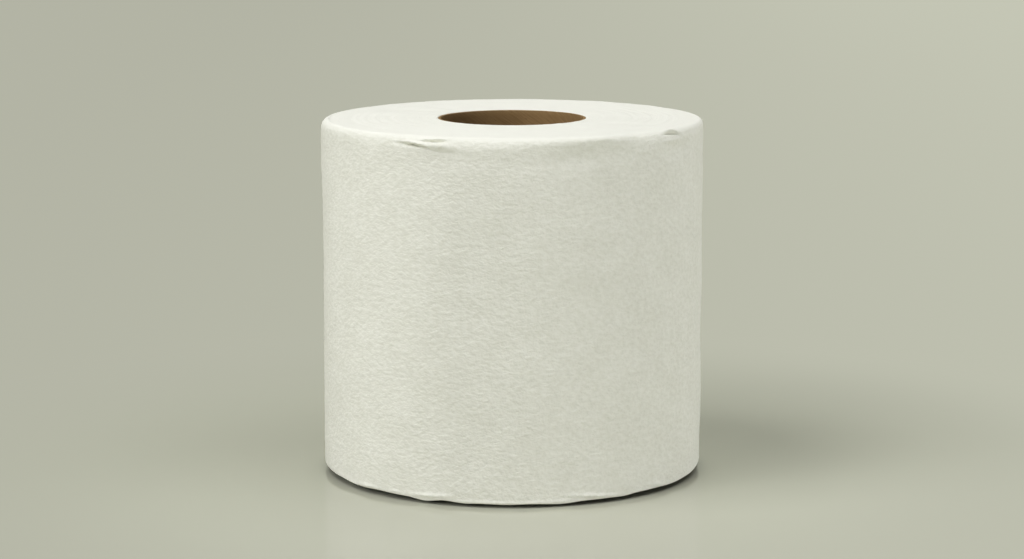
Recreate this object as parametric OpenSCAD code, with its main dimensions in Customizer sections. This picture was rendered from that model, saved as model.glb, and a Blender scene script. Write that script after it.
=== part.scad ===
// Toilet paper roll: a three-ply tissue web wound on a spiral-wound card core, standing on one end.
// The turns follow a two-centre spiral. Half circles are drawn about two close centres by turns,
// each half pitch wider than the one before, so they meet smoothly and gain one pitch a turn.
// Millimetres, +Z up along the core, origin on the core's axis at the lower end.

/* [Roll] */
// Diameter of the roll over its last turn
roll_d = 115; // [95:1:140]
// Width of the tissue web, which is the height of the roll
web_w = 107; // [85:1:130]
// Radius of the soft edge round the upper end
top_edge_r = 2.5; // [1:0.1:6]
// Height of the gap under the last turns, which stand a little off the floor
rim_lift = 1.2; // [0.2:0.1:3]
// Width of the band of turns that rises off the floor
rim_run = 8; // [3:0.5:15]

/* [Turns] */
// Spacing of the turn lines on the two ends, each a bundle of layers
turn_pitch = 1.6; // [1.2:0.1:4]
// Width of a turn line at the end face
turn_line_w = 0.5; // [0.2:0.05:0.8]
// Depth of a turn line
turn_line_depth = 0.35; // [0.1:0.05:0.8]
// Plain band on each end beside the core and beside the edge
turn_margin = 0.6; // [0.4:0.1:3]

/* [Free end of the web] */
// Thickness of the three-ply sheet, which is the step at its free end
sheet_t = 0.4; // [0.2:0.05:0.8]
// Direction of the free end, in degrees anticlockwise from +X
tail_angle = 120; // [0:1:359]

/* [Card core] */
// Bore of the core
core_bore_d = 43; // [36:0.5:50]
// Wall of the core
core_wall = 0.8; // [0.5:0.1:2]
// How far each end of the core lies below the end of the roll
core_recess = 0.5; // [0:0.1:2]
// Glue line between the core and the first turn
glue_line = 0.05; // [0.02:0.01:0.2]
// Width of the helical seam inside the core
seam_w = 0.8; // [0.4:0.1:2]
// Depth of the seam, which is the thickness of the core's inner strip
seam_depth = 0.3; // [0.1:0.05:0.4]
// Rise of the seam in one turn
seam_lead = 90; // [60:1:140]
// Direction of the seam at the core's lower end, in degrees anticlockwise from +X
seam_start = 215; // [0:1:359]

/* [Handling dents] */
// Depth of the dents in the soft edge
dent_depth = 0.7; // [0.2:0.1:1.2]
// Radius of the press that leaves a dent
dent_r = 14; // [6:1:30]
// Directions of the dents in the upper edge, in degrees anticlockwise from +X
top_dents = [240, 328];

/* [Hidden] */
$fn = 96;
roll_r = roll_d / 2;
bore_r = core_bore_d / 2;
core_r = bore_r + core_wall;
core_h = web_w - 2 * core_recess;
first_turn_r = core_r + glue_line;
// The first line's inner half lies a quarter pitch nearer the core than its radius
first_line_r = first_turn_r + turn_margin + turn_line_w / 2 + turn_pitch / 4;
// Steps of the seam up the core, and corners of its section
seam_slices = 48;
seam_corners = 4;
cut_over = 0.2;

// Whole turns of the line that fit between the core and an edge of this width
function turns_inside(edge_w) =
    let (outer_r = roll_r - sheet_t - edge_w - turn_margin - turn_line_w / 2)
    floor((outer_r - first_line_r - turn_pitch / 4) / turn_pitch);

// Half a turn of a two-centre spiral: the section given, carried round half a circle.
// side is 0 for the first half of a turn and 1 for the second.
module half_turn(pitch, side) {
    translate([(side - 0.5) * pitch / 2, 0, 0])
        rotate([0, 0, 180 * side])
            rotate_extrude(angle = 180)
                children();
}

// The corner outside a quarter round, with the round's centre at the origin
module outside_corner(r) {
    difference() {
        square(r + cut_over);
        circle(r);
    }
}

// Half section of the wound web, from the axis out to radius r, with its soft upper edge.
// At the lower end the last turns rise off the floor to a crisp cut edge.
module web_section(r) {
    difference() {
        square([r, web_w]);
        translate([r - top_edge_r, web_w - top_edge_r])
            outside_corner(top_edge_r);
        translate([r, 0])
            polygon([[-rim_run, 0], [rim_run, 2 * rim_lift], [rim_run, -cut_over], [-rim_run, -cut_over]]);
    }
}

// The web as wound. Its free end is the step where the second half turn stops, on +X.
module wound_web() {
    half_turn(sheet_t, 0)
        web_section(roll_r - sheet_t / 2);
    half_turn(sheet_t, 1)
        web_section(roll_r);
}

// Section of a turn line: a notch into the face at height 0, cut a little past that face
module line_section() {
    over_w = turn_line_w * (turn_line_depth + cut_over) / turn_line_depth;
    polygon([[0, -turn_line_depth], [over_w / 2, cut_over], [-over_w / 2, cut_over]]);
}

// The spiral line that the layers' edges draw on an end with an edge of this width
module turn_lines(edge_w) {
    for (turn = [0 : turns_inside(edge_w) - 1], side = [0, 1])
        half_turn(turn_pitch, side)
            translate([first_line_r + (turn + side / 2) * turn_pitch, 0])
                line_section();
}

// The round presses against the soft upper edge
module dents() {
    reach = (top_edge_r + dent_r - dent_depth) / sqrt(2);
    for (direction = top_dents)
        rotate([0, 0, direction])
            translate([roll_r - top_edge_r + reach, 0, web_w - top_edge_r + reach])
                sphere(dent_r);
}

// All the turns of the web as one piece, open for the core
module tissue_roll() {
    color("ivory")
        difference() {
            rotate([0, 0, tail_angle])
                difference() {
                    wound_web();
                    translate([0, 0, web_w])
                        turn_lines(top_edge_r);
                    mirror([0, 0, 1])
                        turn_lines(rim_run);
                }
            translate([0, 0, -cut_over])
                cylinder(h = web_w + 2 * cut_over, r = first_turn_r);
            dents();
        }
}

// The gap where the edges of the inner strip meet, winding up the bore
module core_seam() {
    run = core_h + 2 * cut_over;
    climb = 360 / seam_lead;
    twist = -climb * run;
    translate([0, 0, -cut_over])
        rotate([0, 0, seam_start - climb * cut_over])
            linear_extrude(height = run, twist = twist, slices = seam_slices, segments = seam_corners)
                translate([bore_r, 0])
                    square([2 * seam_depth, seam_w], center = true);
}

// Card tube glued inside the first turn
module cardboard_core() {
    color("peru")
        translate([0, 0, core_recess])
            difference() {
                cylinder(h = core_h, r = core_r);
                translate([0, 0, -cut_over])
                    cylinder(h = core_h + 2 * cut_over, r = bore_r);
                core_seam();
            }
}

tissue_roll();
cardboard_core();
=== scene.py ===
"""Dress a toilet paper roll: a tissue web wound on a spiral card core, standing on a pale studio floor.

Metres, +Z up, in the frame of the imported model. The roll stands on z = 0 with its axis through the
origin, and -Y faces the camera. Bearings are degrees round the roll from the front, positive to the right.
"""

import logging
import math
from dataclasses import dataclass
from enum import Enum
from typing import Union

import bpy
import numpy as np
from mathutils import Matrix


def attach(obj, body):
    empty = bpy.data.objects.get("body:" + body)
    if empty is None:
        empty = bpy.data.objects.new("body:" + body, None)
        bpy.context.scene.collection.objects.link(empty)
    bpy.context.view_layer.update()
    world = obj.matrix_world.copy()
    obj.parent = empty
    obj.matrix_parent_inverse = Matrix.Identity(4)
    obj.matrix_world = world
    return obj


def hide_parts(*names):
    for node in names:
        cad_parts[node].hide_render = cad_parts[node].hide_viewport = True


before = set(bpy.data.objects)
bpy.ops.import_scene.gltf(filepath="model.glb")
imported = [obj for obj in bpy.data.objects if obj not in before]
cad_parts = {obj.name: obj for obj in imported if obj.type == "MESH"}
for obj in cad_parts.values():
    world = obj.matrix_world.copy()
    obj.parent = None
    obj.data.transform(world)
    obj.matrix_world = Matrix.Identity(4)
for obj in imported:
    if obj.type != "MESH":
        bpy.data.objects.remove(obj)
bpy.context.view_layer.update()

MM = 0.001
FULL_TURN = 2 * math.pi
QUARTER_TURN = math.pi / 2
TURN_DEGREES = 360.0
FRONT = math.radians(270)
SHARP_ANGLE = math.radians(50)
BODY = "root"
LENGTH_MAP = "Wrap"
BAKE_MAP = "OFBake"
NOISE_MIDDLE = 0.5
# A ripple's stretch so great that its waves are whole rings
RINGS = 1e6
# Places of the sockets that a Mix node uses for colours; its other sockets have the same names
MIX_SHARE = 0
MIX_FIRST = 6
MIX_SECOND = 7
MIX_RESULT = 2

Colour = tuple[float, float, float]
Span = tuple[float, float]
Plan = tuple[tuple[float, float], ...]
Feed = Union["Signal", float, tuple[float, ...]]

log = logging.getLogger("roll")


class Zone(Enum):
    """The stretches of the roll's outline, in the order in which the outline runs."""

    SIDE = "side"
    UPPER_EDGE = "upper edge"
    UPPER_END = "upper end"
    UPPER_LIP = "upper lip"
    BORE = "bore"
    LOWER_LIP = "lower lip"
    LOWER_END = "lower end"
    LOWER_BAND = "lower band"
    LOWER_EDGE = "lower edge"


class Slot(Enum):
    """The record's material slots."""

    TISSUE = "tissue"
    CARD = "core_card"


# Rows of the roll's grid in each zone
GRID_ROWS = {
    Zone.SIDE: 150,
    Zone.UPPER_EDGE: 18,
    Zone.UPPER_END: 64,
    Zone.UPPER_LIP: 3,
    Zone.BORE: 6,
    Zone.LOWER_LIP: 3,
    Zone.LOWER_END: 34,
    Zone.LOWER_BAND: 8,
    Zone.LOWER_EDGE: 5,
}

# Where the strip of each zone starts and ends on the unit square of the bake map
BAKE_STRIPS = {
    Zone.SIDE: (0.05, 0.50),
    Zone.UPPER_EDGE: (0.50, 0.53),
    Zone.UPPER_END: (0.53, 0.76),
    Zone.UPPER_LIP: (0.76, 0.77),
    Zone.BORE: (0.77, 0.80),
    Zone.LOWER_LIP: (0.80, 0.81),
    Zone.LOWER_END: (0.81, 0.93),
    Zone.LOWER_BAND: (0.93, 0.98),
    Zone.LOWER_EDGE: (0.98, 0.99),
}


def ease(value: np.ndarray, low: float, high: float) -> np.ndarray:
    """Smooth step: 0 below low, 1 above high, and 3t^2 - 2t^3 between them, where t is the share of the way.

    Args:
        value: Where to evaluate the step.
        low: Where the step starts.
        high: Where the step ends.

    Returns:
        The step at each value.
    """
    share = np.clip((value - low) / (high - low), 0, 1)
    return share * share * (3 - 2 * share)


def bell(value: np.ndarray, spread: float) -> np.ndarray:
    """Bell curve exp(-(value / spread)^2)."""
    return np.exp(-np.square(value / spread))


def signed(degrees: np.ndarray) -> np.ndarray:
    """The same directions, from -180 to 180 degrees."""
    return (degrees + TURN_DEGREES / 2) % TURN_DEGREES - TURN_DEGREES / 2


def steps(count: int) -> np.ndarray:
    """Shares 0, 1/count, 2/count and so on, without 1, as a column of rows."""
    return (np.arange(count) / count)[:, None]


def blend(first: np.ndarray, second: np.ndarray, share: np.ndarray) -> np.ndarray:
    """Straight line from first at share 0 to second at share 1."""
    return first * (1 - share) + second * share


def closed_grid(name: str, points: np.ndarray, maps: dict[str, np.ndarray]) -> bpy.types.Object:
    """Make one closed mesh from a grid of points that joins on itself both ways.

    Face (i, j) has the corners (i, j), (i, j + 1), (i + 1, j + 1) and (i + 1, j), counted on past the last
    row and column to the first, so it points outwards where rows run up and columns run anticlockwise.

    Args:
        name: Name of the piece.
        points: Places, as rows by columns by 3.
        maps: Named UV maps, each with one more row and column than points.

    Returns:
        The new object, linked to the scene.
    """
    rows, columns = points.shape[:2]
    row = np.arange(rows)[:, None, None] + np.array([0, 0, 1, 1])
    column = np.arange(columns)[None, :, None] + np.array([0, 1, 1, 0])
    row, column = np.broadcast_arrays(row, column)
    corners = (row % rows) * columns + column % columns
    mesh = bpy.data.meshes.new(name)
    mesh.vertices.add(rows * columns)
    mesh.vertices.foreach_set("co", points.astype(np.float32).ravel())
    mesh.loops.add(corners.size)
    mesh.loops.foreach_set("vertex_index", corners.astype(np.int32).ravel())
    mesh.polygons.add(rows * columns)
    mesh.polygons.foreach_set("loop_start", np.arange(0, corners.size, corners.shape[-1], dtype=np.int32))
    mesh.polygons.foreach_set("use_smooth", np.ones(rows * columns, dtype=bool))
    mesh.update(calc_edges=True)
    for map_name, grid in maps.items():
        layer = mesh.uv_layers.new(name=map_name)
        layer.uv.foreach_set("vector", grid[row, column].astype(np.float32).ravel())
    mesh.validate()
    mesh.set_sharp_from_angle(angle=SHARP_ANGLE)
    made = bpy.data.objects.new(name, mesh)
    bpy.context.scene.collection.objects.link(made)
    return made


@dataclass(frozen=True)
class Signal:
    """A value in a shader: a socket with Python's arithmetic, each operation adding a Math node."""

    graph: "Graph"
    socket: bpy.types.NodeSocket

    def __add__(self, other: Feed) -> "Signal":
        """Sum."""
        return self.graph.math("ADD", self, other)

    __radd__ = __add__

    def __sub__(self, other: Feed) -> "Signal":
        """Difference."""
        return self.graph.math("SUBTRACT", self, other)

    def __rsub__(self, other: Feed) -> "Signal":
        """Difference from a number."""
        return self.graph.math("SUBTRACT", other, self)

    def __mul__(self, other: Feed) -> "Signal":
        """Product."""
        return self.graph.math("MULTIPLY", self, other)

    __rmul__ = __mul__

    def __truediv__(self, other: Feed) -> "Signal":
        """Quotient."""
        return self.graph.math("DIVIDE", self, other)

    def __rtruediv__(self, other: Feed) -> "Signal":
        """Quotient of a number."""
        return self.graph.math("DIVIDE", other, self)

    def __abs__(self) -> "Signal":
        """Size without sign."""
        return self.graph.math("ABSOLUTE", self)

    def zigzag(self) -> "Signal":
        """Straight lines between 0 at each whole number and 1 halfway to the next."""
        return self.graph.math("PINGPONG", self, 0.5) * 2

    def ease(self, low: float, high: float) -> "Signal":
        """Smooth step from 0 at low to 1 at high.

        Args:
            low: Where the step starts.
            high: Where the step ends.

        Returns:
            The step, from 0 to 1.
        """
        sockets = {"Value": self, "From Min": low, "From Max": high}
        made = self.graph.node("ShaderNodeMapRange", {"interpolation_type": "SMOOTHSTEP"}, sockets)
        return self.graph.out(made, "Result")


class Graph:
    """The node tree of a material or of the world, with one way to add a node."""

    def __init__(self, owner: bpy.types.Material | bpy.types.World) -> None:
        """Start with an empty tree.

        Args:
            owner: The material or the world.
        """
        owner.use_nodes = True
        self.owner = owner
        self.tree = owner.node_tree
        self.tree.nodes.clear()

    def node(self, kind: str, settings: dict[str, object], sockets: dict[str | int, Feed]) -> bpy.types.Node:
        """Add a node, give it its settings, and then fill or link its sockets.

        Args:
            kind: Blender's type of the node.
            settings: Attributes of the node, set first.
            sockets: A value or a signal for each input, by name or by place.

        Returns:
            The new node.
        """
        made = self.tree.nodes.new(kind)
        for name, value in settings.items():
            setattr(made, name, value)
        for key, value in sockets.items():
            if isinstance(value, Signal):
                self.tree.links.new(value.socket, made.inputs[key])
            else:
                made.inputs[key].default_value = value
        return made

    def out(self, node: bpy.types.Node, socket: str | int) -> Signal:
        """One output of a node, as a signal."""
        return Signal(self, node.outputs[socket])

    def math(self, operation: str, *values: Feed) -> Signal:
        """Add a Math node.

        Args:
            operation: Name of the operation.
            *values: Its one or two operands.

        Returns:
            The result.
        """
        made = self.node("ShaderNodeMath", {"operation": operation}, dict(enumerate(values)))
        return self.out(made, "Value")

    def mix(self, share: Feed, first: Feed, second: Feed) -> Signal:
        """Mix two colours.

        Args:
            share: Share of the second colour, from 0 to 1.
            first: Colour at share 0.
            second: Colour at share 1.

        Returns:
            The mixed colour.
        """
        colours = [value if isinstance(value, Signal) else (*value, 1.0) for value in (first, second)]
        sockets = {MIX_SHARE: share, MIX_FIRST: colours[0], MIX_SECOND: colours[1]}
        return self.out(self.node("ShaderNodeMix", {"data_type": "RGBA"}, sockets), MIX_RESULT)

    def place(self) -> tuple[Signal, Signal, Signal]:
        """Read object coordinates.

        Returns:
            The coordinates x, y and z.
        """
        where = self.node("ShaderNodeTexCoord", {}, {})
        parts = self.node("ShaderNodeSeparateXYZ", {}, {"Vector": self.out(where, "Object")})
        return self.out(parts, "X"), self.out(parts, "Y"), self.out(parts, "Z")

    def lengths(self) -> tuple[Signal, Signal]:
        """Read the wrapped surface's own lengths.

        Returns:
            The lengths around the roll and along its outline.
        """
        wrap = self.node("ShaderNodeUVMap", {"uv_map": LENGTH_MAP}, {})
        parts = self.node("ShaderNodeSeparateXYZ", {}, {"Vector": self.out(wrap, "UV")})
        return self.out(parts, "X"), self.out(parts, "Y")

    def vector(self, x: Feed, y: Feed, z: Feed) -> Signal:
        """Three values as one vector."""
        return self.out(self.node("ShaderNodeCombineXYZ", {}, {"X": x, "Y": y, "Z": z}), "Vector")

    def noise(self, where: Signal, size: float, detail: float = 2.0, roughness: float = 0.5) -> Signal:
        """Noise about 0.5, with features about one size across.

        Args:
            where: Place to read the noise at.
            size: Length of a feature.
            detail: Finer layers added.
            roughness: How strong the finer layers are.

        Returns:
            The noise.
        """
        sockets = {"Vector": where, "Scale": 1 / size, "Detail": detail, "Roughness": roughness}
        return self.out(self.node("ShaderNodeTexNoise", {}, sockets), "Fac")

    def bump(self, height: Signal, relief: float) -> Signal:
        """Normal of a surface raised by a height of 1 to the relief given, in metres."""
        sockets = {"Height": height, "Distance": relief, "Strength": 1.0}
        return self.out(self.node("ShaderNodeBump", {}, sockets), "Normal")

    def surface(self, **values: Feed) -> Signal:
        """Principled surface.

        Args:
            **values: Its sockets, with _ for a space in their names.

        Returns:
            The shader.
        """
        sockets = {name.replace("_", " "): value for name, value in values.items()}
        return self.out(self.node("ShaderNodeBsdfPrincipled", {}, sockets), "BSDF")

    def in_view(self) -> Signal:
        """Tell rays that show something from rays that light something.

        Returns:
            1 for rays from the camera and for what gloss and glass show of them, 0 for light.
        """
        ray = self.node("ShaderNodeLightPath", {}, {})
        total = self.out(ray, "Is Camera Ray") + self.out(ray, "Is Glossy Ray")
        return self.math("MINIMUM", total + self.out(ray, "Is Transmission Ray"), 1.0)

    def either(self, share: Signal, first: Signal, second: Signal) -> Signal:
        """Mix two shaders, by the share of the second."""
        return self.out(self.node("ShaderNodeMixShader", {}, {0: share, 1: first, 2: second}), "Shader")

    def close(self, kind: str, shader: Signal) -> None:
        """End the tree with an output of the kind given."""
        self.node(kind, {}, {"Surface": shader})


@dataclass(frozen=True)
class TissueFinish:
    """Creped tissue: off-white, matt and soft, with the edges of its layers on the two ends."""

    # light is the tissue's own colour; shade is that colour darkened in the crepe's valleys as painted
    # shade, and also the real tone of the pulp's clouds
    light: Colour = (0.906, 0.907, 0.831)
    shade: Colour = (0.802, 0.802, 0.715)
    # gap: painted shade in the gaps between the layers' edges on the ends
    gap: Colour = (0.740, 0.735, 0.640)
    crepe: float = 1.25 * MM
    crepe_stretch: float = 1.4
    crepe_roughness: float = 0.6
    fine: float = 0.55 * MM
    fine_height: float = 0.2
    cloud: float = 7 * MM
    valley: Span = (0.72, 0.28)
    shade_and_pulp_share: float = 0.9
    cloud_tone: float = 0.3
    end_tone: float = 0.23
    layer: float = 0.45 * MM
    layer_height: float = 0.15
    bundle: float = 1.5 * MM
    bundle_height: float = 0.4
    ring_roughness: float = 0.6
    wander: float = 9 * MM
    gap_span: Span = (0.45, 0.0)
    gap_shade_share: float = 0.4
    # Painted shade, nearly black, on the layer lines under the lifted lower band, and where it lies
    painted_underside_shade: Colour = (0.040, 0.038, 0.032)
    fan_low: Span = (48.5 * MM, 50.0 * MM)
    fan_high: Span = (57.1 * MM, 56.7 * MM)
    fan_rise: Span = (3.0 * MM, 2.5 * MM)
    fan_span: Span = (1.5, 0.5)
    underside_shade_share: float = 0.97
    end_rise: Span = (1.6 * MM, 0.16 * MM)
    relief: float = 0.31 * MM
    roughness: float = 0.9
    sheen: float = 0.12
    sheen_tint: Colour = (1.0, 0.98, 0.84)
    sheen_roughness: float = 0.3
    shine: float = 0.15

    def dress(self, piece: bpy.types.Object, width: float) -> None:
        """Give the wound web its material.

        The side has crepe, a stretched noise in the sheet's own lengths, over slow clouds of pulp; the
        colour is darkened in the crepe's valleys as painted shade. Near each end the layers' edges take
        over: lines one layer apart along the spiral r / layer - turns, gathered into irregular rings, with
        painted shade in the gaps between them. Where the lower end lifts off the floor, the layer lines
        under the band are painted nearly black, a painted shade.

        Args:
            piece: The wound web.
            width: Width of the web, from the lower end at 0 to the upper end.
        """
        graph = Graph(bpy.data.materials.new("creped_tissue"))
        x, y, z = graph.place()
        around, along = graph.lengths()
        flat = graph.vector(around / self.crepe_stretch, along, 0.0)
        solid = graph.vector(x, y, z)
        crepe = graph.noise(flat, self.crepe, roughness=self.crepe_roughness)
        fine = graph.noise(flat, self.fine, detail=1.0)
        cloud = graph.noise(solid, self.cloud)
        reach = graph.math("SQRT", x * x + y * y)
        turns = graph.math("ARCTAN2", y, x) / FULL_TURN
        wander = graph.noise(solid, self.wander, detail=1.0) - NOISE_MIDDLE
        edge = ((reach + wander * self.bundle) / self.layer - turns).zigzag()
        ring = graph.noise(graph.vector(reach, 0.0, 0.0), self.bundle, roughness=self.ring_roughness)
        middle = width / 2
        end = abs(z - middle).ease(*(middle - depth for depth in self.end_rise))
        side = 1 - end
        # Painted shade in the crepe's valleys, mixed with the pulp's real clouds of tone; the ends take a
        # fixed share of the shade colour
        valley_shade_and_pulp = crepe.ease(*self.valley) * (1 - self.cloud_tone)
        valley_shade_and_pulp = valley_shade_and_pulp + cloud.ease(*self.valley) * self.cloud_tone
        valley = valley_shade_and_pulp * side + end * self.end_tone
        # Painted shade in the gaps between the layers' edges on the ends
        between = edge.ease(*self.gap_span) * ring.ease(*self.valley) * end
        colour = graph.mix(valley * self.shade_and_pulp_share, self.light, self.shade)
        colour = graph.mix(between * self.gap_shade_share, colour, self.gap)
        # Painted shade, nearly black, on the layer lines under the lifted lower band
        shaded_underside = reach.ease(*self.fan_low) * reach.ease(*self.fan_high) * z.ease(*self.fan_rise)
        colour = graph.mix(shaded_underside * edge.ease(*self.fan_span) * self.underside_shade_share, colour, self.painted_underside_shade)
        rise = edge * self.layer_height + ring * self.bundle_height
        height = (crepe + fine * self.fine_height) * side + rise * end
        shader = graph.surface(
            Base_Color=colour,
            Roughness=self.roughness + crepe * (1 - self.roughness),
            Normal=graph.bump(height, self.relief),
            Specular_IOR_Level=self.shine,
            Sheen_Weight=self.sheen,
            Sheen_Roughness=self.sheen_roughness,
            Sheen_Tint=(*self.sheen_tint, 1.0),
        )
        graph.close("ShaderNodeOutputMaterial", shader)
        piece.data.materials.append(graph.owner)


@dataclass(frozen=True)
class CardFinish:
    """Brown kraft card: long fibres along the winding, dark flecks and a dark joint between strips."""

    light: Colour = (0.330, 0.214, 0.099)
    dark: Colour = (0.198, 0.122, 0.052)
    fleck: Colour = (0.115, 0.070, 0.034)
    fibre: float = 0.5 * MM
    fibre_stretch: float = 9.0
    fibre_detail: float = 3.0
    fibre_roughness: float = 0.6
    fibre_span: Span = (0.32, 0.68)
    fibre_tone: float = 0.6
    speck: float = 0.62 * MM
    speck_stretch: float = 2.0
    speck_span: Span = (0.68, 0.76)
    speck_tone: float = 0.6
    cloud: float = 6 * MM
    relief: float = 0.05 * MM
    joint: Span = (0.5 * MM, 0.35 * MM)
    joint_tone: float = 0.75
    roughness: Span = (0.72, 0.92)
    shine: float = 0.3

    def dress(self, piece: bpy.types.Object) -> None:
        """Give the core its material: stretched noise for fibres, with thresholded noise for flecks.

        Args:
            piece: The core.
        """
        graph = Graph(bpy.data.materials.new("kraft_card"))
        around, along = graph.lengths()
        grain = graph.vector(around, along / self.fibre_stretch, 0.0)
        fibre = graph.noise(grain, self.fibre, self.fibre_detail, self.fibre_roughness)
        cloud = graph.noise(graph.vector(*graph.place()), self.cloud)
        spots = graph.noise(graph.vector(around, along / self.speck_stretch, 0.0), self.speck, detail=1.0)
        tone = fibre.ease(*self.fibre_span) * self.fibre_tone + cloud * (1 - self.fibre_tone)
        colour = graph.mix(tone, self.dark, self.light)
        colour = graph.mix(spots.ease(*self.speck_span) * self.speck_tone, colour, self.fleck)
        in_joint = abs(around).ease(*self.joint)
        colour = graph.mix(in_joint * self.joint_tone, colour, self.fleck)
        low, high = self.roughness
        shader = graph.surface(
            Base_Color=colour,
            Roughness=low + fibre * (high - low),
            Normal=graph.bump(fibre + cloud, self.relief),
            Specular_IOR_Level=self.shine,
        )
        graph.close("ShaderNodeOutputMaterial", shader)
        piece.data.materials.append(graph.owner)


@dataclass(frozen=True)
class FloorFinish:
    """Pale painted board with a slight gloss, which fades into a pale backdrop far from the roll. Both carry
    painted light: the board is paler towards the viewer and the right, and the backdrop is paler on the
    right.
    """

    # Painted light: back is the board's shaded tone, and front its tone lit towards the viewer and the right
    back: Colour = (0.432, 0.436, 0.352)
    front: Colour = (0.520, 0.525, 0.433)
    front_reach: Span = (0.05, -0.06)
    front_span: Span = (-0.18, -0.03)
    # Backdrop glow, with painted light paler on the right
    left: Colour = (0.452, 0.457, 0.375)
    right: Colour = (0.558, 0.568, 0.464)
    backdrop_reach: Span = (0.09, 0.22)
    backdrop_span: Span = (-0.35, 0.60)
    drift: float = 0.4
    drift_tone: float = 0.1
    gloss: float = 0.03
    gloss_drift: float = 0.05
    shine: float = 0.18

    def dress(self, piece: bpy.types.Object) -> None:
        """Give the floor its material: a tone paler towards the viewer and the right, which is painted
        light, with a slow drift.

        Away from the roll, what the camera sees passes over to a glow, with painted light paler on the
        right.

        Args:
            piece: The floor.
        """
        graph = Graph(bpy.data.materials.new("pale_floor"))
        x, y, z = graph.place()
        slow = graph.noise(graph.vector(x, y, z), self.drift, detail=1.0)
        reach = graph.math("SQRT", x * x + y * y)
        # Painted light: the board is paler towards the viewer and the right
        painted_front_light = y.ease(*self.front_reach) * x.ease(*self.front_span)
        paler = painted_front_light * (1 - self.drift_tone) + slow * self.drift_tone
        board = graph.surface(
            Base_Color=graph.mix(paler, self.back, self.front),
            Roughness=self.gloss + slow * self.gloss_drift,
            Specular_IOR_Level=self.shine,
        )
        # Backdrop glow with painted light, paler on the right
        glow = graph.mix(x.ease(*self.backdrop_span), self.left, self.right)
        even = graph.out(graph.node("ShaderNodeEmission", {}, {"Color": glow, "Strength": 1.0}), "Emission")
        shown = graph.in_view() * reach.ease(*self.backdrop_reach)
        graph.close("ShaderNodeOutputMaterial", graph.either(shown, board, even))
        piece.data.materials.append(graph.owner)


@dataclass(frozen=True)
class Ripple:
    """Random ripples in the wrapped sheet, as a sum of plane waves of about one length."""

    length: float
    height: float
    stretch: float
    seed: int
    waves: int = 40
    spread: Span = (0.7, 1.5)

    def over(self, angle: np.ndarray, run: np.ndarray, radius: float) -> np.ndarray:
        """Sum cosines of random direction and phase, with lengths near the one given.

        Each wave is cos(a * angle + b * run + phase). The count a of waves around the roll is rounded to
        a whole number, so that the ripples join on themselves after a turn.

        Args:
            angle: Angles around the roll.
            run: Lengths along the outline.
            radius: Radius at which the length holds.

        Returns:
            Heights of the ripples, with root mean square height.
        """
        draw = np.random.default_rng(self.seed)
        heading = draw.uniform(0, FULL_TURN, self.waves)
        number = FULL_TURN / (self.length * draw.uniform(*self.spread, self.waves))
        phase = draw.uniform(0, FULL_TURN, self.waves)
        around = np.rint(number * np.cos(heading) * radius / self.stretch)
        along = number * np.sin(heading)
        total = np.zeros(np.broadcast(angle, run).shape)
        for wave_around, wave_along, start in zip(around, along, phase):
            total += np.cos(wave_around * angle + wave_along * run + start)
        return self.height * math.sqrt(2 / self.waves) * total


@dataclass(frozen=True)
class Wave:
    """A sine along a line, which passes one radian in its length."""

    length: float
    height: float
    phase: float = 0.0

    def over(self, run: np.ndarray) -> np.ndarray:
        """Height of the wave at each length along the line."""
        return self.height * np.sin(run / self.length + self.phase)


@dataclass(frozen=True)
class Fold:
    """A crease pressed into the sheet, or a ridge where the depth is below 0. Degrees and millimetres.

    The place and the spread of its lip are shares of its half width.
    """

    bearing: float
    run: float
    half_length: float
    half_width: float
    depth: float
    lip: float = 0.0
    tilt: float = 0.0
    bow: float = 0.0
    lip_place: float = 2.0
    lip_spread: float = 1.3

    def over(self, bearing: np.ndarray, run: np.ndarray, radius: float) -> np.ndarray:
        """Height of the fold: the bell of a lip above it less a bell across it, both fading along it.

        Args:
            bearing: Degrees round the roll from the front.
            run: Lengths along the outline, in metres.
            radius: Radius of the roll, in metres.

        Returns:
            Heights in metres, negative in a crease.
        """
        side = np.radians(signed(bearing - self.bearing)) * radius / MM
        rise = run / MM - self.run
        lean = math.radians(self.tilt)
        along = (side * math.cos(lean) + rise * math.sin(lean)) / self.half_length
        across = rise * math.cos(lean) - side * math.sin(lean) - self.bow * np.square(along)
        valley = self.depth * bell(across, self.half_width)
        above = across - self.lip_place * self.half_width
        lip = self.lip * bell(above, self.lip_spread * self.half_width)
        return (lip - valley) * bell(along, 1.0) * MM


@dataclass(frozen=True)
class Stations:
    """A size that varies round the roll, given at rising bearings. Degrees and millimetres."""

    sizes: Plan

    def over(self, bearing: np.ndarray) -> np.ndarray:
        """Size in metres at each bearing: a smooth step from one station to the next, closing after a turn.

        Args:
            bearing: Degrees round the roll from the front.

        Returns:
            The sizes, as one row.
        """
        start, first = self.sizes[0]
        at, size = np.array(self.sizes + ((start + TURN_DEGREES, first),)).T
        place = (bearing - start) % TURN_DEGREES + start
        before = np.searchsorted(at, place, side="right") - 1
        share = ease((place - at[before]) / (at[before + 1] - at[before]), 0, 1)
        return blend(size[before], size[before + 1], share)[None, :] * MM


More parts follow.
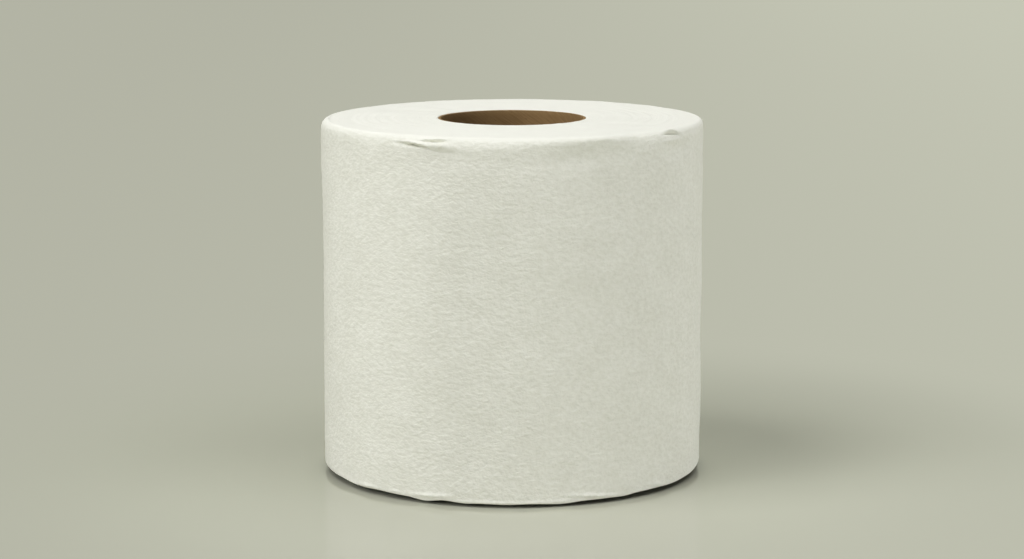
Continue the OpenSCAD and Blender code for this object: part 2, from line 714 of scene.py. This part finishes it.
@dataclass
class Outline:
    """Half sections of the roll: rows run along the outline, columns around the roll."""

    radius: np.ndarray
    height: np.ndarray
    zones: list[Zone]

    def rows_of(self, *zones: Zone) -> np.ndarray:
        """True for each row that lies in one of the zones, as a column."""
        return np.array([zone in zones for zone in self.zones])[:, None]

    def run(self) -> np.ndarray:
        """Length along the outline, which on the side is the height.

        Lengths add up from row to row over the upper end, and back from the side over the lower end. The
        whole length is taken off again over the bore, which the core hides.

        Returns:
            The lengths, as rows by columns.
        """
        step_out = np.roll(self.radius, -1, axis=0) - self.radius
        step_up = np.roll(self.height, -1, axis=0) - self.height
        step = np.hypot(step_out, step_up)
        length = np.cumsum(step, axis=0)
        passed = np.cumsum(self.rows_of(Zone.BORE), axis=0)
        return self.height[:1] + length - step - length[-1:] * passed / passed[-1]

    def move(self, distance: np.ndarray) -> None:
        """Move every point outwards, square to the line through its two neighbours along the outline.

        Args:
            distance: How far, as rows by columns.
        """
        across = np.roll(self.radius, -1, axis=0) - np.roll(self.radius, 1, axis=0)
        climb = np.roll(self.height, -1, axis=0) - np.roll(self.height, 1, axis=0)
        size = np.hypot(across, climb)
        self.radius = self.radius + distance * climb / size
        self.height = self.height - distance * across / size


@dataclass
class TissueRoll:
    """The wound web: its soft rim, creases, lifted lower edge and free end, as one closed surface."""

    name: str = "tissue_web"
    node: str = "tissue_roll"
    radius: float = 57.6 * MM
    sheet: float = 0.4 * MM
    width: float = 107 * MM
    bore: float = 22.35 * MM
    lip: float = 0.25 * MM
    band: float = 8 * MM
    cut_round: float = 0.2 * MM
    rim_inset: Stations = Stations((
        (-180, 2.4), (-120, 3.0), (-90, 2.3), (-68, 1.6), (-48, 1.6), (-38, 2.0), (-27, 2.6), (-12, 3.0),
        (0, 2.6), (14, 1.7), (27, 1.1), (40, 2.7), (55, 2.2), (70, 1.9), (85, 1.3), (100, 1.8), (135, 2.6),
    ))
    rim_drop: Stations = Stations((
        (-180, 3.2), (-120, 3.6), (-90, 2.9), (-68, 2.8), (-48, 3.8), (-38, 4.8), (-27, 4.0), (-12, 5.2),
        (0, 3.8), (14, 2.3), (27, 1.4), (40, 7.0), (55, 4.4), (70, 3.8), (85, 2.0), (100, 2.4), (135, 3.4),
    ))
    base_lift: Stations = Stations((
        (-180, 1.3), (-110, 1.5), (-75, 2.3), (-64, 1.95), (-54, 1.5), (-44, 1.8), (-33, 1.5), (-26, 0.85),
        (-20, 1.55), (-13, 1.0), (-9, 1.25), (-2, 1.0), (4, 1.32), (14, 0.85), (22, 1.3), (30, 1.35),
        (34, 1.25), (40, 1.62), (47, 1.65), (56, 1.5), (66, 1.85), (80, 2.45), (115, 1.6),
    ))
    # Creases and pressed places in the upper edge, swellings of the two sides, wrinkles and ridges
    # above the lower edge, and guesses on the back
    folds: tuple[Fold, ...] = (
        Fold(-29.3, 104.32, 4.1, 0.30, 2.20, lip=0.40, tilt=-7, bow=-0.22),
        Fold(-18.5, 102.45, 5.0, 0.60, 0.23, tilt=-4),
        Fold(-23.0, 105.85, 3.2, 0.25, 1.45, lip=0.30, tilt=2),
        Fold(-22.0, 104.45, 4.2, 0.80, -0.65, tilt=-3),
        Fold(55.2, 106.05, 3.0, 0.36, 1.85, lip=0.50, tilt=-8, bow=-0.4),
        Fold(21.0, 101.00, 15.0, 2.90, 0.62, tilt=5),
        Fold(58.0, 101.20, 8.0, 2.80, 0.60),
        Fold(54.5, 103.80, 3.5, 0.70, -0.35),
        Fold(-17.0, 100.50, 9.0, 2.50, 0.26),
        Fold(-92.0, 96.00, 26.0, 16.0, -0.30),
        Fold(-90.0, 30.00, 25.0, 14.0, -0.20),
        Fold(92.0, 92.00, 22.0, 14.0, -0.20),
        Fold(90.0, 22.00, 20.0, 12.0, -0.15),
        Fold(14.0, 11.30, 3.8, 0.80, 0.30, lip=0.10),
        Fold(16.0, 9.20, 4.0, 0.70, -0.20),
        Fold(-18.0, 10.40, 3.0, 0.80, 0.16),
        Fold(-47.5, 2.25, 4.5, 0.50, -0.45, tilt=3),
        Fold(-36.6, 2.40, 2.0, 0.45, -0.30),
        Fold(-24.6, 2.55, 5.5, 0.55, -0.50, tilt=2),
        Fold(-1.0, 1.55, 16.0, 0.40, -0.32),
        Fold(25.0, 2.50, 7.5, 0.50, -0.50, tilt=-5),
        Fold(48.0, 2.65, 3.5, 0.50, -0.42, tilt=-9),
        Fold(140.0, 104.20, 4.6, 0.50, 0.60, lip=0.25, tilt=4),
        Fold(-128.0, 104.80, 3.6, 0.45, 0.55, lip=0.20, tilt=-6),
        Fold(165.0, 2.60, 5.2, 0.55, -0.28),
        Fold(-100.0, 2.80, 4.6, 0.55, -0.28, tilt=5),
    )
    side_ripples: tuple[Ripple, ...] = (
        Ripple(34 * MM, 0.10 * MM, 0.8, seed=3, waves=24),
        Ripple(11 * MM, 0.028 * MM, 1.3, seed=5),
        Ripple(4.5 * MM, 0.014 * MM, 1.4, seed=7),
    )
    rim_ripple: Ripple = Ripple(13 * MM, 0.025 * MM, 1.0, seed=19, waves=24)
    rim_spread: float = 3.5 * MM
    end_rings: Ripple = Ripple(2.6 * MM, 0.045 * MM, RINGS, seed=11, waves=30)
    end_waves: Ripple = Ripple(26 * MM, 0.07 * MM, 0.6, seed=13, waves=16)
    end_fade: Span = (3.5 * MM, 11 * MM)
    end_lobes: int = 2
    end_phase: float = 0.7
    edge_fade: float = 4 * MM
    tail_angle: float = math.radians(120)
    tail_curl: float = 9 * MM
    tail_lift: float = 0.8 * MM
    tail_under: float = 7 * MM
    tail_pressed: Span = (4 * MM, 12 * MM)
    tail_waver: tuple[Wave, ...] = (Wave(9 * MM, 0.35, 1.0), Wave(3.7 * MM, 0.2))
    tear: float = 0.25 * MM
    tear_jags: tuple[Wave, ...] = (Wave(0.9 * MM, 0.5), Wave(2.3 * MM, 0.8, 2.0))
    # Angle between the columns where the surface closes at the free end, and how many such gaps there are
    hairline: float = 0.0006
    hairlines: int = 3
    columns: int = 316
    column_plan: Plan = ((0.0, 0), (0.20, 88), (0.72, 212), (0.93, 348), (1.0, 360))
    row_plan: Plan = ((0.0, 0.0), (0.16, 0.07), (0.62, 0.92), (1.0, 1.0))

    def outline(self, turn: np.ndarray, bearing: np.ndarray) -> Outline:
        """Half sections of the plain roll, in the order of the zones.

        The radius grows by one sheet in a turn. The upper edge is a quarter of an ellipse, the bore has a
        small round at each end, and at the lower end a straight band rises to the crisp lower edge.

        Args:
            turn: Angle of each column from the free end, along the winding.
            bearing: Degrees of each column round the roll from the front.

        Returns:
            The half sections.
        """
        inset = self.rim_inset.over(bearing)
        drop = self.rim_drop.over(bearing)
        lift = self.base_lift.over(bearing)
        outer = (self.radius - self.sheet + self.sheet * turn / FULL_TURN)[None, :]
        mouth = self.bore + self.lip
        foot = lift + self.cut_round
        shoulder = self.width - drop
        share = {zone: steps(count) for zone, count in GRID_ROWS.items()}
        sine = {zone: np.sin(part * QUARTER_TURN) for zone, part in share.items()}
        cosine = {zone: np.cos(part * QUARTER_TURN) for zone, part in share.items()}
        climb = np.interp(share[Zone.SIDE], *np.array(self.row_plan).T)
        parts = {
            Zone.SIDE: (outer, blend(foot, shoulder, climb)),
            Zone.UPPER_EDGE: (
                outer - inset * (1 - cosine[Zone.UPPER_EDGE]),
                shoulder + drop * sine[Zone.UPPER_EDGE],
            ),
            Zone.UPPER_END: (blend(outer - inset, mouth, share[Zone.UPPER_END]), self.width),
            Zone.UPPER_LIP: (
                mouth - self.lip * sine[Zone.UPPER_LIP],
                self.width - self.lip * (1 - cosine[Zone.UPPER_LIP]),
            ),
            Zone.BORE: (self.bore, blend(self.width - self.lip, self.lip, share[Zone.BORE])),
            Zone.LOWER_LIP: (
                mouth - self.lip * cosine[Zone.LOWER_LIP],
                self.lip * (1 - sine[Zone.LOWER_LIP]),
            ),
            Zone.LOWER_END: (blend(mouth, outer - self.band, share[Zone.LOWER_END]), 0.0),
            Zone.LOWER_BAND: (
                blend(outer - self.band, outer - self.cut_round, share[Zone.LOWER_BAND]),
                lift * share[Zone.LOWER_BAND],
            ),
            Zone.LOWER_EDGE: (
                outer - self.cut_round * (1 - sine[Zone.LOWER_EDGE]),
                foot - self.cut_round * cosine[Zone.LOWER_EDGE],
            ),
        }
        shapes = {zone: (GRID_ROWS[zone], len(turn)) for zone in Zone}
        radius = np.concatenate([np.broadcast_to(parts[zone][0], shapes[zone]) for zone in Zone])
        height = np.concatenate([np.broadcast_to(parts[zone][1], shapes[zone]) for zone in Zone])
        return Outline(radius, height, [zone for zone in Zone for _ in range(GRID_ROWS[zone])])

    def relief(self, outline: Outline, angle: np.ndarray, bearing: np.ndarray) -> np.ndarray:
        """Height of the sheet's own unevenness, square to the surface.

        On the side it is the sum of slow swellings, ripples and folds, which fades out over the edges, with
        a wavy rim. On the ends it is rings about the core and slow waves, only upwards at the lower end.

        Args:
            outline: The plain half sections.
            angle: Angle of each column about the axis.
            bearing: Degrees of each column round the roll from the front.

        Returns:
            Heights in metres.
        """
        run = outline.run()
        wrapped = angle[None, :]
        top = self.width + self.edge_fade
        fade = ease(run, top, top - 2 * self.edge_fade) * ease(run, 0, self.edge_fade)
        side = sum(ripple.over(wrapped, run, self.radius) for ripple in self.side_ripples) * fade
        folds = sum(fold.over(bearing[None, :], run, self.radius) for fold in self.folds)
        rim = self.rim_ripple.over(wrapped, run, self.radius) * bell(run - self.width, self.rim_spread)
        outside = outline.rows_of(Zone.SIDE, Zone.UPPER_EDGE, Zone.LOWER_EDGE)
        inward = ease(self.radius - outline.radius, *self.end_fade)
        waved = outline.radius + self.sheet * np.cos(self.end_lobes * wrapped + self.end_phase)
        rings = self.end_rings.over(wrapped, waved, self.radius)
        end = (rings + self.end_waves.over(wrapped, waved, self.radius)) * inward
        upper = end * outline.rows_of(Zone.UPPER_END)
        lower = -np.abs(end) * outline.rows_of(Zone.LOWER_END)
        return (side + folds + rim) * outside + upper + lower

    def free_end(self, outline: Outline, turn: np.ndarray) -> tuple[np.ndarray, np.ndarray, np.ndarray]:
        """Add the lifted free end: two more columns, for the cut edge and for the root of the gap under it.

        The last stretch of the sheet curls away from the turn below by a smooth step, and its torn edge
        wavers. Near both ends of the roll it lies pressed down, where the two columns close up.

        Args:
            outline: The half sections with their relief.
            turn: Angle of each column from the free end, along the winding.

        Returns:
            Radius, height and turn of every point, with the two columns added.
        """
        run = outline.height[:, -1]
        free = ease(run, *self.tail_pressed) * ease(self.width - run, *self.tail_pressed)
        free = free * outline.rows_of(Zone.SIDE)[:, 0]
        waver = 1 + sum(wave.over(run) for wave in self.tail_waver)
        curl = ease((FULL_TURN - turn) * self.radius, self.tail_curl, 0)
        radius = outline.radius + self.tail_lift * (free * waver)[:, None] * curl[None, :]
        jag = sum(wave.over(run) for wave in self.tear_jags)
        turns = np.repeat(turn[None, :], len(run), axis=0)
        turns[:, -1] -= free * (1 + jag) * self.tear / self.radius
        cut_radius = radius[:, -1] - free * self.sheet
        root_radius = outline.radius[:, 0]
        cut_turn = turns[:, -1] + self.hairline
        root_turn = FULL_TURN - self.hairline - free * self.tail_under / self.radius
        radius = np.column_stack([radius, cut_radius, root_radius])
        height = np.column_stack([outline.height, outline.height[:, -1], outline.height[:, 0]])
        return radius, height, np.column_stack([turns, cut_turn, root_turn])

    def maps(self, run: np.ndarray, turns: np.ndarray) -> dict[str, np.ndarray]:
        """The two UV maps, each with the closing row and column added.

        One holds real lengths: around the roll at its full radius, and along the outline. The other lays
        the same strips out on a unit square: the side below, and above it each end and the bore.

        Args:
            run: Length along the outline of every point.
            turns: Turn of every point, with the two columns of the free end.

        Returns:
            The maps by name.
        """
        turns = np.column_stack([turns, turns[:, -1] + self.hairline])
        around = np.vstack([turns, turns[:1]])
        run = np.column_stack([run, run[:, -1], run[:, 0], run[:, 0]])
        along = np.vstack([run, run[:1]])
        lengths = np.stack([around * self.radius, along], axis=-1)
        levels = [blend(*BAKE_STRIPS[zone], steps(GRID_ROWS[zone])[:, 0]) for zone in Zone]
        level = np.append(np.concatenate(levels), BAKE_STRIPS[Zone.LOWER_EDGE][1])
        spread = steps(turns.shape[1])[:, 0]
        square = np.stack(np.broadcast_arrays(spread[None, :], level[:, None]), axis=-1)
        return {LENGTH_MAP: lengths, BAKE_MAP: square}

    def build(self, finish: TissueFinish) -> bpy.types.Object:
        """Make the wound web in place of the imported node.

        Args:
            finish: Its finish.

        Returns:
            The finished piece.
        """
        shares, bearings = np.array(self.column_plan).T
        spread = np.interp(np.linspace(0, 1, self.columns), shares, bearings / bearings[-1])
        turn = spread * (FULL_TURN - self.hairlines * self.hairline)
        angle = self.tail_angle + turn
        bearing = signed(np.degrees(angle - FRONT))
        outline = self.outline(turn, bearing)
        run = outline.run()
        outline.move(self.relief(outline, angle, bearing))
        radius, height, turns = self.free_end(outline, turn)
        angles = self.tail_angle + turns
        points = np.stack([radius * np.cos(angles), radius * np.sin(angles), height], axis=-1)
        piece = closed_grid(self.name, points, self.maps(run, turns))
        finish.dress(piece, self.width)
        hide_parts(self.node)
        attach(piece, BODY)
        return piece


@dataclass
class CardCore:
    """The card tube inside the first turn, wound from strips whose joint climbs the bore as a helix."""

    name: str = "card_tube"
    node: str = "cardboard_core"
    bore: float = 21.5 * MM
    wall: float = 0.8 * MM
    low: float = 0.5 * MM
    high: float = 106.9 * MM
    joint_width: float = 0.8 * MM
    joint_depth: float = 0.3 * MM
    joint_lead: float = 90 * MM
    joint_start: float = math.radians(215)
    # Columns at the joint, as shares of its half width
    joint_columns: tuple[float, ...] = (-1.6, -1.0, -0.9, 0.0, 0.9, 1.0)
    bore_share: Span = (0.3, 0.6)
    rim: float = 0.15 * MM
    rim_rows: int = 3
    uneven: Ripple = Ripple(16 * MM, 0.05 * MM, 1.0, seed=17, waves=20)
    columns: int = 160
    wall_rows: int = 72

    def section(self) -> tuple[np.ndarray, np.ndarray]:
        """Section of the wall: up the outer side, over the rim, down the bore and back, with round corners.

        Returns:
            Radius and height of each row.
        """
        climb = steps(self.wall_rows)[:, 0]
        outer = self.bore + self.wall
        low, high, rim = self.low, self.high, self.rim
        corner = np.linspace(0, QUARTER_TURN, self.rim_rows)
        turn_in = np.sin(corner)
        turn_up = np.cos(corner)
        radius = np.concatenate([
            np.full(self.wall_rows, outer),
            outer - rim + rim * turn_up,
            self.bore + rim - rim * turn_in,
            np.full(self.wall_rows, self.bore)[1:],
            self.bore + rim - rim * turn_up,
            outer - rim + rim * turn_in[:-1],
        ])
        height = np.concatenate([
            low + rim + (high - low - 2 * rim) * climb,
            high - rim + rim * turn_in,
            high - rim + rim * turn_up,
            (high - rim - (high - low - 2 * rim) * climb)[1:],
            low + rim - rim * turn_in,
            low + rim - rim * turn_up[:-1],
        ])
        return radius, height

    def build(self, finish: CardFinish) -> bpy.types.Object:
        """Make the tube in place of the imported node.

        The section is carried round the axis. Columns climb with the joint, so the joint is a groove along
        one of them, and the card is a little uneven.

        Args:
            finish: Its finish.

        Returns:
            The finished piece.
        """
        radius, height = self.section()
        half = self.joint_width / 2 / self.bore
        groove = half * np.array(self.joint_columns)
        plain = np.linspace(-groove[0], FULL_TURN + groove[0], self.columns, endpoint=False)
        column = np.concatenate([groove, plain])
        sunk = np.where(np.abs(column) < half, self.joint_depth, 0.0)
        outer = self.bore + self.wall
        inside = ease(radius, *(outer - share * self.wall for share in self.bore_share))[:, None]
        climbed = self.joint_start + FULL_TURN * (height - self.low) / self.joint_lead
        angle = column[None, :] + climbed[:, None]
        uneven = self.uneven.over(angle, height[:, None], self.bore)
        reach = radius[:, None] + inside * (sunk[None, :] + uneven)
        lift = np.broadcast_to(height[:, None], reach.shape)
        points = np.stack([reach * np.cos(angle), reach * np.sin(angle), lift], axis=-1)
        piece = closed_grid(self.name, points, self.maps(column, radius, height))
        finish.dress(piece)
        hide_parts(self.node)
        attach(piece, BODY)
        return piece

    def maps(self, column: np.ndarray, radius: np.ndarray, height: np.ndarray) -> dict[str, np.ndarray]:
        """The two UV maps: real lengths from the joint and along the section, and a unit square.

        Args:
            column: Angle of each column from the joint.
            radius: Radius of each row.
            height: Height of each row.

        Returns:
            The maps by name.
        """
        step = np.hypot(np.diff(radius, append=radius[:1]), np.diff(height, append=height[:1]))
        along = np.concatenate([[0.0], np.cumsum(step)])
        around = np.append(column, column[0] + FULL_TURN)
        offset = np.where(around > math.pi, around - FULL_TURN, around)
        offset[-1] = offset[0]
        lengths = np.stack(np.broadcast_arrays(offset[None, :] * self.bore, along[:, None]), axis=-1)
        share = (around - around[0]) / FULL_TURN
        square = np.stack(np.broadcast_arrays(share[None, :], (along / along[-1])[:, None]), axis=-1)
        return {LENGTH_MAP: lengths, BAKE_MAP: square}


@dataclass(frozen=True)
class Lamp:
    """A square soft lamp that faces the roll."""

    name: str
    place: tuple[float, float, float]
    size: float
    power: float
    aim: tuple[float, float, float] = (0.0, 0.0, 0.05)

    def hang(self) -> None:
        """Put the lamp in the scene, turned to what it lights and left out of what gloss shows."""
        lamp = bpy.data.lights.new(self.name, "AREA")
        lamp.size = self.size
        lamp.energy = self.power
        holder = bpy.data.objects.new(self.name, lamp)
        holder.location = self.place
        holder.visible_glossy = False
        x, y, z = np.subtract(self.aim, self.place)
        holder.rotation_euler = (math.atan2(math.hypot(x, y), -z), 0.0, math.atan2(y, x) - QUARTER_TURN)
        bpy.context.scene.collection.objects.link(holder)


@dataclass
class Studio:
    """The floor, the soft light and the camera."""

    floor_size: float = 12.0
    camera_place: tuple[float, float, float] = (0.0, -0.85192, 0.19685)
    camera_pitch: float = math.radians(9.298)
    lens: float = 99.65
    sensor: float = 36.0
    clip: float = 0.01
    sky: Colour = (1.0, 1.0, 1.0)
    sky_strength: float = 0.09
    backdrop: Colour = (0.495, 0.512, 0.410)
    lamps: tuple[Lamp, ...] = (
        Lamp("lamp_over", (0.45, -0.1, 1.45), 1.2, 9.4),
        Lamp("lamp_high", (-0.55, -0.2, 1.3), 0.5, 6.7),
        Lamp("lamp_left", (-1.10, -1.1, 0.8), 1.0, 15.0),
        Lamp("lamp_low", (1.2, -0.4, 0.05), 0.09, 4.7),
        Lamp("lamp_back", (0.2, 1.5, 1.0), 1.2, 5.0),
    )

    def floor(self, finish: FloorFinish) -> bpy.types.Object:
        """Lay a flat floor.

        Args:
            finish: Its finish.

        Returns:
            The floor.
        """
        half = self.floor_size / 2
        mesh = bpy.data.meshes.new("floor")
        corners = [(-half, -half, 0), (half, -half, 0), (half, half, 0), (-half, half, 0)]
        mesh.from_pydata(corners, [], [(0, 1, 2, 3)])
        piece = bpy.data.objects.new("floor", mesh)
        bpy.context.scene.collection.objects.link(piece)
        finish.dress(piece)
        return piece

    def light(self) -> None:
        """Light the roll with a faint even sky and lamps above, on the left, low on the right and behind.

        The camera sees an even wall in place of the sky.
        """
        for lamp in self.lamps:
            lamp.hang()
        graph = Graph(bpy.data.worlds.new("studio"))
        colours = {"sky": (self.sky, self.sky_strength), "wall": (self.backdrop, 1.0)}
        glow = {
            name: graph.node("ShaderNodeBackground", {}, {"Color": (*colour, 1.0), "Strength": strength})
            for name, (colour, strength) in colours.items()
        }
        sky, wall = (graph.out(glow[name], "Background") for name in colours)
        graph.close("ShaderNodeOutputWorld", graph.either(graph.in_view(), sky, wall))
        bpy.context.scene.world = graph.owner

    def camera(self) -> None:
        """Set up the camera where the photograph was taken from."""
        lens = bpy.data.cameras.new("camera")
        lens.lens = self.lens
        lens.sensor_width = self.sensor
        lens.clip_start = self.clip
        view = bpy.data.objects.new("camera", lens)
        view.location = self.camera_place
        view.rotation_euler = (QUARTER_TURN - self.camera_pitch, 0.0, 0.0)
        bpy.context.scene.collection.objects.link(view)
        bpy.context.scene.camera = view
        bpy.context.scene.view_settings.view_transform = "Standard"


def report(piece: bpy.types.Object) -> None:
    """Log a piece's name, faces and size."""
    size = ", ".join(f"{side / MM:.1f}" for side in piece.dimensions)
    log.info("%s: %d faces, %s mm", piece.name, len(piece.data.polygons), size)


def main() -> None:
    """Build the studio and the roll's two pieces, in order."""
    logging.basicConfig(level=logging.INFO, format="%(name)s: %(message)s")
    studio = Studio()
    studio.camera()
    studio.light()
    report(studio.floor(FloorFinish()))
    report(CardCore().build(CardFinish()))
    report(TissueRoll().build(TissueFinish()))


if __name__ == "__main__":
    main()
